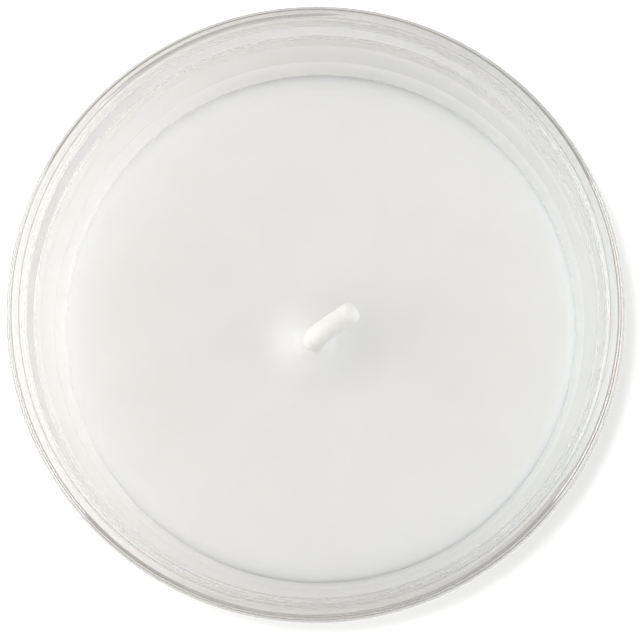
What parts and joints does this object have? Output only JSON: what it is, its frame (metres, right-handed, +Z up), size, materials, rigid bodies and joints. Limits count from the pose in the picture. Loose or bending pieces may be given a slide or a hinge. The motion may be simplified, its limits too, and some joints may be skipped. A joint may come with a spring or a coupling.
{
  "type": "glass votive candle",
  "caption": "Votive candle: tapered clear glass cup with a thick base and rounded lip, filled with white wax round a bent wick.",
  "frame": {"origin": "on the cup's axis, in the plane of the ring it stands on", "axes": "+Z up along the cup's axis; +X to the right and -Y to the front in the picture, which looks down"},
  "size_m": [0.0698, 0.0698, 0.078],
  "materials": {
    "clear_glass": "clear, fire-polished",
    "white_wax": "soft white wax, satin, slightly translucent",
    "waxed_cotton": "braided cotton, coated with wax",
    "tin_plate": "pressed tin plate",
    "glue": "hot-melt glue"
  },
  "bodies": {
    "root": {"glass_cup": "clear_glass", "wax_fill": "white_wax", "wick": "waxed_cotton", "wick_holder": "tin_plate", "glue_dot": "glue"}
  },
  "joints": []
}
